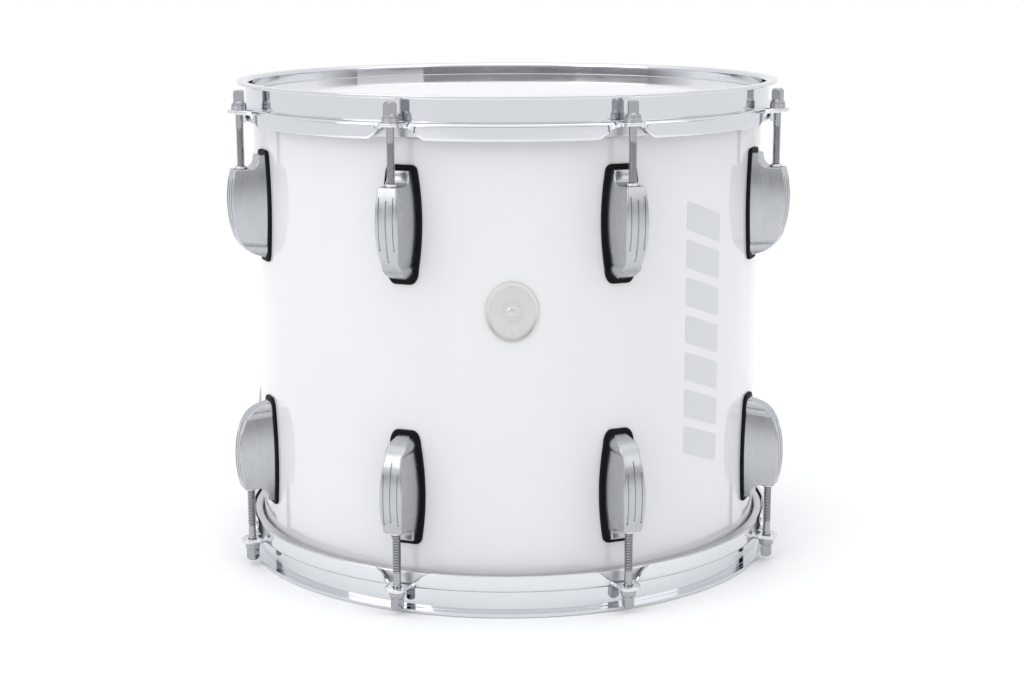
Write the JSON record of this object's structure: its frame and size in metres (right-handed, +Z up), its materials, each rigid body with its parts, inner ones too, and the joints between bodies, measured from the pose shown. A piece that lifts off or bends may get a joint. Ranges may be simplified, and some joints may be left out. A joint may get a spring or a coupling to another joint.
{
  "type": "two-headed drum",
  "caption": "Two-headed drum: gloss-covered ply shell, flanged steel hoops, tension rods in swivel-nut lugs on rubber gaskets; each hoop slides as its rods turn.",
  "frame": {"origin": "middle of the lower rim plane, on the drum's axis", "axes": "+Z up along the drum's axis towards the batter head; the badge faces -Y"},
  "size_m": [0.3782, 0.3782, 0.3305],
  "materials": {
    "ply": "sanded, sealed",
    "shell_covering": "high gloss",
    "drum_head": "smooth, glossy",
    "hoop_chrome": "mirror chrome plating",
    "lug_metal": "satin plated die casting",
    "rod_steel": "plated, threads duller",
    "washer_steel": "plated",
    "nut_metal": "plated, bright",
    "spring_steel": "drawn wire",
    "screw_steel": "zinc plated",
    "flesh_hoop_metal": "mill finish",
    "gasket_rubber": "matte black",
    "badge_metal": "satin, raised border",
    "grommet_metal": "plated",
    "decal_film": "silver-grey film"
  },
  "bodies": {
    "shell": {"badge_pins": "badge_metal", "badge_plate": "badge_metal", "batter_lug_casing_1": "lug_metal", "batter_lug_casing_2": "lug_metal", "batter_lug_casing_3": "lug_metal", "batter_lug_casing_4": "lug_metal", "batter_lug_casing_5": "lug_metal", "batter_lug_casing_6": "lug_metal", "batter_lug_casing_7": "lug_metal", "batter_lug_casing_8": "lug_metal", "batter_lug_gaskets": "gasket_rubber", "batter_lug_screws": "screw_steel", "batter_nut_springs": "spring_steel", "batter_screw_washers": "screw_steel", "batter_swivel_nuts": "nut_metal", "resonant_lug_casing_1": "lug_metal", "resonant_lug_casing_2": "lug_metal", "resonant_lug_casing_3": "lug_metal", "resonant_lug_casing_4": "lug_metal", "resonant_lug_casing_5": "lug_metal", "resonant_lug_casing_6": "lug_metal", "resonant_lug_casing_7": "lug_metal", "resonant_lug_casing_8": "lug_metal", "resonant_lug_gaskets": "gasket_rubber", "resonant_lug_screws": "screw_steel", "resonant_nut_springs": "spring_steel", "resonant_screw_washers": "screw_steel", "resonant_swivel_nuts": "nut_metal", "shell_ply": "ply", "shell_wrap": "shell_covering", "side_stripe": "decal_film", "vent_grommet": "grommet_metal"},
    "batter_hoop": {"batter_flesh_hoop": "flesh_hoop_metal", "batter_head_film": "drum_head", "batter_hoop": "hoop_chrome", "batter_rod_lower_washers": "washer_steel", "batter_rod_upper_washers": "washer_steel"},
    "batter_rod_1": {"batter_tension_rod_1": "rod_steel"},
    "batter_rod_2": {"batter_tension_rod_2": "rod_steel"},
    "batter_rod_3": {"batter_tension_rod_3": "rod_steel"},
    "batter_rod_4": {"batter_tension_rod_4": "rod_steel"},
    "batter_rod_5": {"batter_tension_rod_5": "rod_steel"},
    "batter_rod_6": {"batter_tension_rod_6": "rod_steel"},
    "batter_rod_7": {"batter_tension_rod_7": "rod_steel"},
    "batter_rod_8": {"batter_tension_rod_8": "rod_steel"},
    "resonant_hoop": {"resonant_flesh_hoop": "flesh_hoop_metal", "resonant_head_film": "drum_head", "resonant_hoop": "hoop_chrome", "resonant_rod_lower_washers": "washer_steel", "resonant_rod_upper_washers": "washer_steel"},
    "resonant_rod_1": {"resonant_tension_rod_1": "rod_steel"},
    "resonant_rod_2": {"resonant_tension_rod_2": "rod_steel"},
    "resonant_rod_3": {"resonant_tension_rod_3": "rod_steel"},
    "resonant_rod_4": {"resonant_tension_rod_4": "rod_steel"},
    "resonant_rod_5": {"resonant_tension_rod_5": "rod_steel"},
    "resonant_rod_6": {"resonant_tension_rod_6": "rod_steel"},
    "resonant_rod_7": {"resonant_tension_rod_7": "rod_steel"},
    "resonant_rod_8": {"resonant_tension_rod_8": "rod_steel"}
  },
  "joints": [
    {"name": "batter_tuning", "type": "slide", "parent": "shell", "child": "batter_hoop", "axis": [0, 0, 1], "range_m": [0, 0.014]},
    {"name": "batter_rod_1_turn", "type": "hinge", "parent": "batter_hoop", "child": "batter_rod_1", "pos_m": [0.17849, 0.07393, 0.3143], "axis": [0, 0, 1], "range_deg": [0, 4800]},
    {"name": "batter_rod_2_turn", "type": "hinge", "parent": "batter_hoop", "child": "batter_rod_2", "pos_m": [0.07393, 0.17849, 0.3143], "axis": [0, 0, 1], "range_deg": [0, 4800]},
    {"name": "batter_rod_3_turn", "type": "hinge", "parent": "batter_hoop", "child": "batter_rod_3", "pos_m": [-0.07393, 0.17849, 0.3143], "axis": [0, 0, 1], "range_deg": [0, 4800]},
    {"name": "batter_rod_4_turn", "type": "hinge", "parent": "batter_hoop", "child": "batter_rod_4", "pos_m": [-0.17849, 0.07393, 0.3143], "axis": [0, 0, 1], "range_deg": [0, 4800]},
    {"name": "batter_rod_5_turn", "type": "hinge", "parent": "batter_hoop", "child": "batter_rod_5", "pos_m": [-0.17849, -0.07393, 0.3143], "axis": [0, 0, 1], "range_deg": [0, 4800]},
    {"name": "batter_rod_6_turn", "type": "hinge", "parent": "batter_hoop", "child": "batter_rod_6", "pos_m": [-0.07393, -0.17849, 0.3143], "axis": [0, 0, 1], "range_deg": [0, 4800]},
    {"name": "batter_rod_7_turn", "type": "hinge", "parent": "batter_hoop", "child": "batter_rod_7", "pos_m": [0.07393, -0.17849, 0.3143], "axis": [0, 0, 1], "range_deg": [0, 4800]},
    {"name": "batter_rod_8_turn", "type": "hinge", "parent": "batter_hoop", "child": "batter_rod_8", "pos_m": [0.17849, -0.07393, 0.3143], "axis": [0, 0, 1], "range_deg": [0, 4800]},
    {"name": "resonant_tuning", "type": "slide", "parent": "shell", "child": "resonant_hoop", "axis": [0, 0, -1], "range_m": [0, 0.014]},
    {"name": "resonant_rod_1_turn", "type": "hinge", "parent": "resonant_hoop", "child": "resonant_rod_1", "pos_m": [0.17849, 0.07393, 0.0162], "axis": [0, 0, -1], "range_deg": [0, 4800]},
    {"name": "resonant_rod_2_turn", "type": "hinge", "parent": "resonant_hoop", "child": "resonant_rod_2", "pos_m": [0.07393, 0.17849, 0.0162], "axis": [0, 0, -1], "range_deg": [0, 4800]},
    {"name": "resonant_rod_3_turn", "type": "hinge", "parent": "resonant_hoop", "child": "resonant_rod_3", "pos_m": [-0.07393, 0.17849, 0.0162], "axis": [0, 0, -1], "range_deg": [0, 4800]},
    {"name": "resonant_rod_4_turn", "type": "hinge", "parent": "resonant_hoop", "child": "resonant_rod_4", "pos_m": [-0.17849, 0.07393, 0.0162], "axis": [0, 0, -1], "range_deg": [0, 4800]},
    {"name": "resonant_rod_5_turn", "type": "hinge", "parent": "resonant_hoop", "child": "resonant_rod_5", "pos_m": [-0.17849, -0.07393, 0.0162], "axis": [0, 0, -1], "range_deg": [0, 4800]},
    {"name": "resonant_rod_6_turn", "type": "hinge", "parent": "resonant_hoop", "child": "resonant_rod_6", "pos_m": [-0.07393, -0.17849, 0.0162], "axis": [0, 0, -1], "range_deg": [0, 4800]},
    {"name": "resonant_rod_7_turn", "type": "hinge", "parent": "resonant_hoop", "child": "resonant_rod_7", "pos_m": [0.07393, -0.17849, 0.0162], "axis": [0, 0, -1], "range_deg": [0, 4800]},
    {"name": "resonant_rod_8_turn", "type": "hinge", "parent": "resonant_hoop", "child": "resonant_rod_8", "pos_m": [0.17849, -0.07393, 0.0162], "axis": [0, 0, -1], "range_deg": [0, 4800]}
  ],
  "couplings": [
    {"joint": "batter_rod_1_turn", "follows": "batter_tuning", "rad_per_m": 5936.9},
    {"joint": "batter_rod_2_turn", "follows": "batter_tuning", "rad_per_m": 5936.9},
    {"joint": "batter_rod_3_turn", "follows": "batter_tuning", "rad_per_m": 5936.9},
    {"joint": "batter_rod_4_turn", "follows": "batter_tuning", "rad_per_m": 5936.9},
    {"joint": "batter_rod_5_turn", "follows": "batter_tuning", "rad_per_m": 5936.9},
    {"joint": "batter_rod_6_turn", "follows": "batter_tuning", "rad_per_m": 5936.9},
    {"joint": "batter_rod_7_turn", "follows": "batter_tuning", "rad_per_m": 5936.9},
    {"joint": "batter_rod_8_turn", "follows": "batter_tuning", "rad_per_m": 5936.9},
    {"joint": "resonant_rod_1_turn", "follows": "resonant_tuning", "rad_per_m": 5936.9},
    {"joint": "resonant_rod_2_turn", "follows": "resonant_tuning", "rad_per_m": 5936.9},
    {"joint": "resonant_rod_3_turn", "follows": "resonant_tuning", "rad_per_m": 5936.9},
    {"joint": "resonant_rod_4_turn", "follows": "resonant_tuning", "rad_per_m": 5936.9},
    {"joint": "resonant_rod_5_turn", "follows": "resonant_tuning", "rad_per_m": 5936.9},
    {"joint": "resonant_rod_6_turn", "follows": "resonant_tuning", "rad_per_m": 5936.9},
    {"joint": "resonant_rod_7_turn", "follows": "resonant_tuning", "rad_per_m": 5936.9},
    {"joint": "resonant_rod_8_turn", "follows": "resonant_tuning", "rad_per_m": 5936.9}
  ]
}
